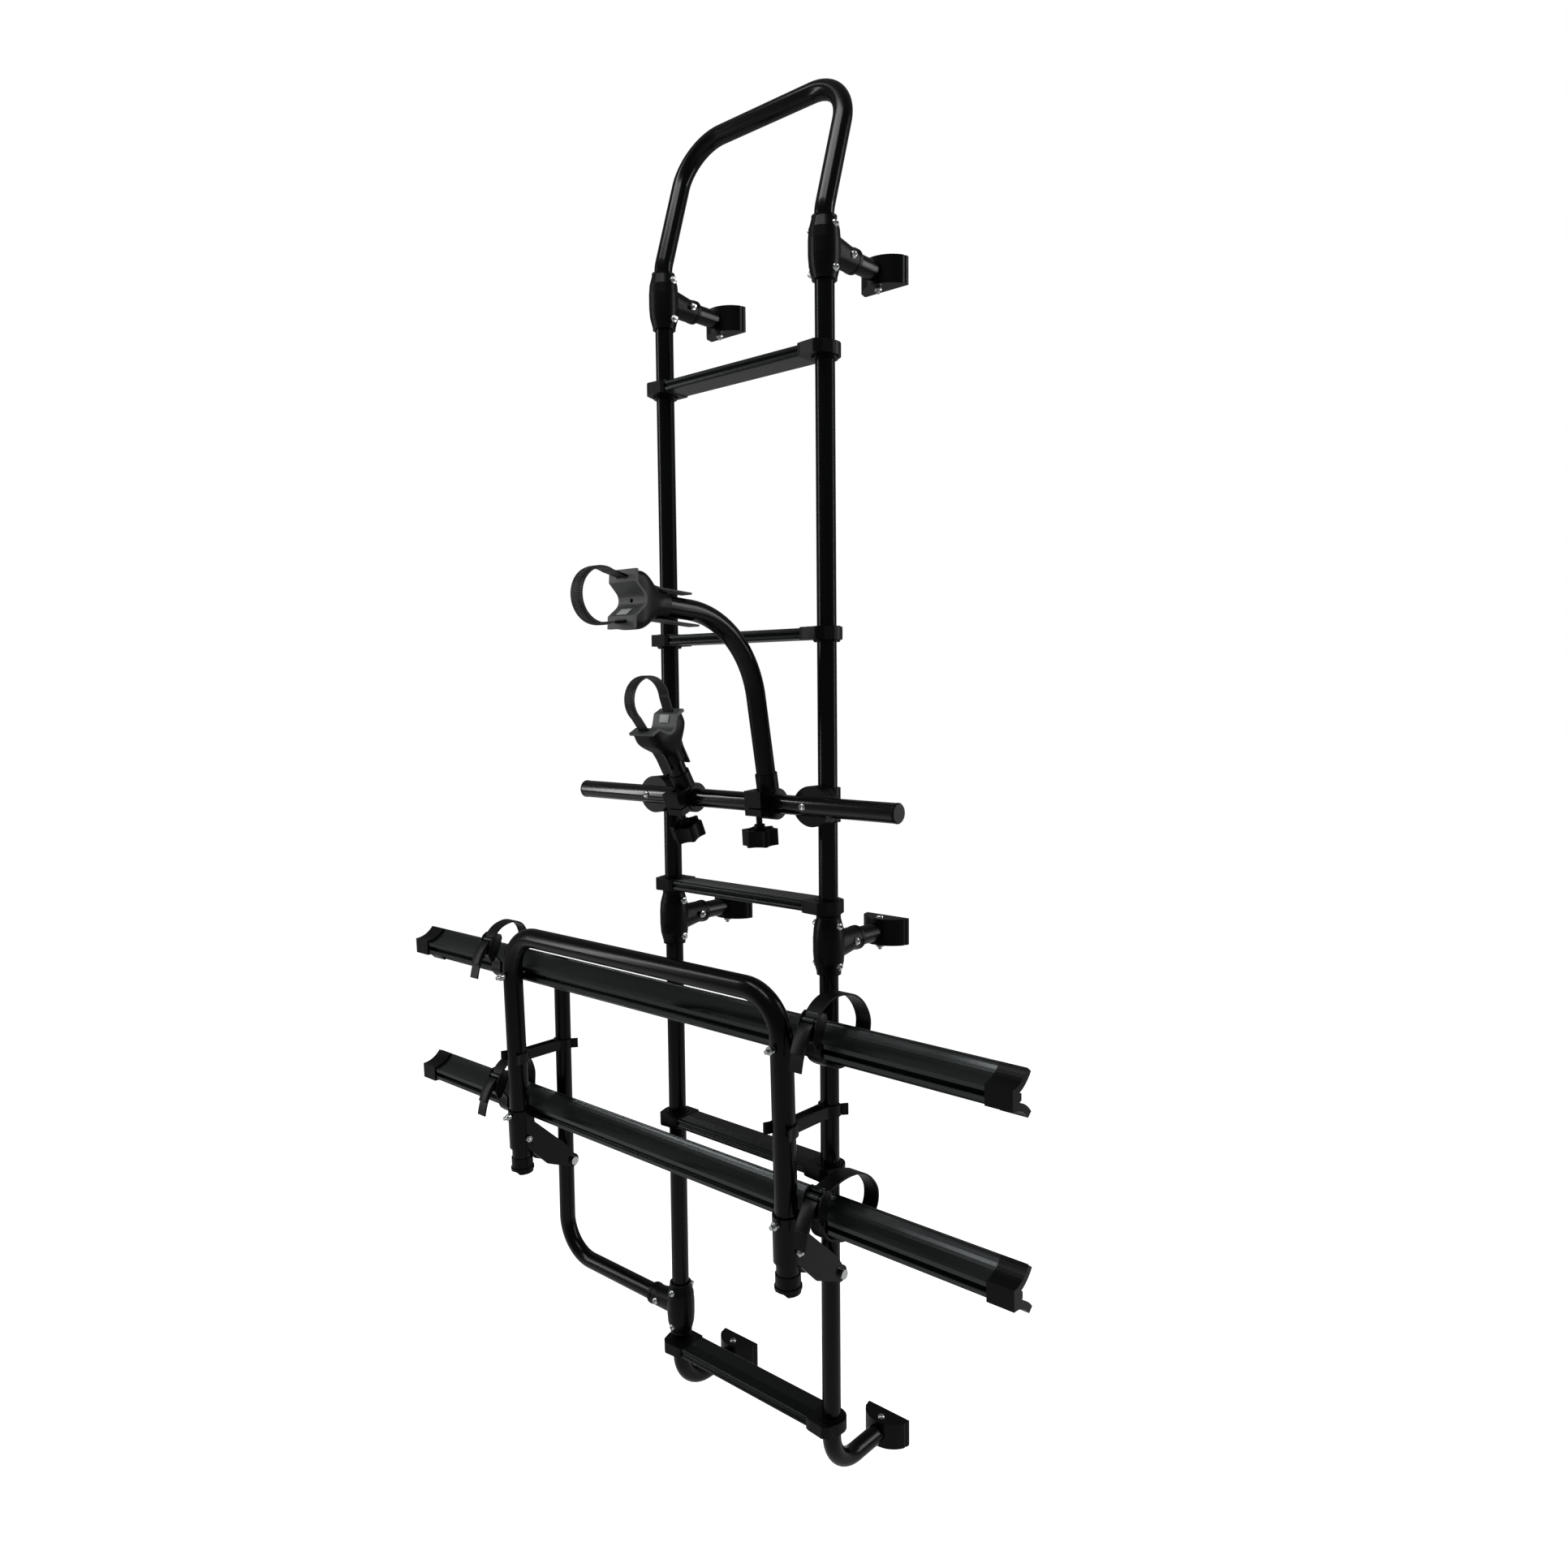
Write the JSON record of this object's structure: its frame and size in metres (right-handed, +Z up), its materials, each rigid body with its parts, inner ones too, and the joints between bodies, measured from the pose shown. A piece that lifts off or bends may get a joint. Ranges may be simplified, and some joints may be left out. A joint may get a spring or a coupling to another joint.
{
  "type": "rv ladder bike carrier",
  "caption": "Vehicle rear ladder with wall pads, a fold-down carrier hoop with two wheel rails and ratchet straps, and two clamped frame-holder arms.",
  "frame": {"origin": "middle of the flat back face of the lower right wall pad, on the vehicle's wall", "axes": "+X to the right along the wall as seen from behind the vehicle, +Y into the wall, +Z up"},
  "size_m": [1.176, 0.4702, 1.8418],
  "materials": {
    "black_tube": "satin black powder coat",
    "hoop_tube": "satin charcoal powder coat",
    "bar_tube": "gloss charcoal coat",
    "tread": "dark anodised, fine ribs",
    "black_plastic": "moulded black",
    "arm_plastic": "moulded black, slight sheen",
    "saddle_plastic": "charcoal, light gloss",
    "grey_rubber": "mid grey, soft",
    "strap": "toothed flexible strap",
    "bracket_metal": "satin charcoal coat",
    "wheel_rail": "black anodised extrusion",
    "zinc": "bright zinc plate"
  },
  "bodies": {
    "ladder": {"rail_left": "black_tube", "rail_right": "black_tube", "top_hoop": "black_tube", "tread_1": "tread", "tread_2": "tread", "tread_3": "tread", "tread_4": "tread", "tread_5": "tread", "tread_clamps_left": "black_plastic", "tread_clamps_right": "black_plastic", "tee_upper_left": "black_plastic", "tee_upper_right": "black_plastic", "tee_mid_left": "black_plastic", "tee_mid_right": "black_plastic", "tee_side_post": "black_plastic", "stand_off_tubes": "black_tube", "wall_pads_upper": "black_plastic", "wall_pads_mid": "black_plastic", "wall_pad_lower_left": "black_plastic", "wall_pad_lower_right": "black_plastic", "side_post": "black_tube", "side_post_cap": "black_plastic", "park_clip_left": "black_plastic", "park_clip_right": "black_plastic", "support_bar": "bar_tube", "support_bar_caps": "black_plastic", "bar_saddle_left": "saddle_plastic", "bar_saddle_right": "saddle_plastic", "fold_bolts": "zinc"},
    "carrier": {"carrier_hoop": "hoop_tube", "hoop_end_caps": "black_plastic", "fold_bracket_left": "bracket_metal", "fold_bracket_right": "bracket_metal", "wheel_rail_upper": "wheel_rail", "wheel_rail_lower": "wheel_rail", "wheel_rail_caps": "black_plastic", "wheel_rail_bolts": "zinc", "wheel_strap_upper_left": "strap", "wheel_strap_upper_right": "strap", "wheel_strap_lower_left": "strap", "wheel_strap_lower_right": "strap", "wheel_strap_buckles": "black_plastic"},
    "long_arm": {"long_arm_clamp": "arm_plastic", "long_arm_tube": "black_tube", "long_arm_head": "arm_plastic", "long_arm_pad": "grey_rubber", "long_arm_strap": "strap"},
    "long_arm_screw": {"long_arm_knob": "arm_plastic"},
    "short_arm": {"short_arm_clamp": "arm_plastic", "short_arm_tube": "black_tube", "short_arm_head": "arm_plastic", "short_arm_pad": "grey_rubber", "short_arm_strap": "strap"},
    "short_arm_screw": {"short_arm_knob": "arm_plastic"}
  },
  "joints": [
    {"name": "carrier_fold", "type": "hinge", "parent": "ladder", "child": "carrier", "pos_m": [0, -0.13, 0.281], "axis": [1, 0, 0], "range_deg": [0, 88.5]},
    {"name": "long_arm_turn", "type": "hinge", "parent": "ladder", "child": "long_arm", "pos_m": [-0.071, -0.162, 0.898], "axis": [1, 0, 0], "range_deg": [-5, 70]},
    {"name": "long_arm_screw", "type": "hinge", "parent": "long_arm", "child": "long_arm_screw", "pos_m": [-0.071, -0.18311, 0.8845], "axis": [0, -0.0698, 0.9976], "continuous": true},
    {"name": "short_arm_turn", "type": "hinge", "parent": "ladder", "child": "short_arm", "pos_m": [-0.221, -0.162, 0.898], "axis": [1, 0, 0], "range_deg": [-25, 60]},
    {"name": "short_arm_screw", "type": "hinge", "parent": "short_arm", "child": "short_arm_screw", "pos_m": [-0.221, -0.17756, 0.87836], "axis": [0, -0.3907, 0.9205], "continuous": true}
  ]
}
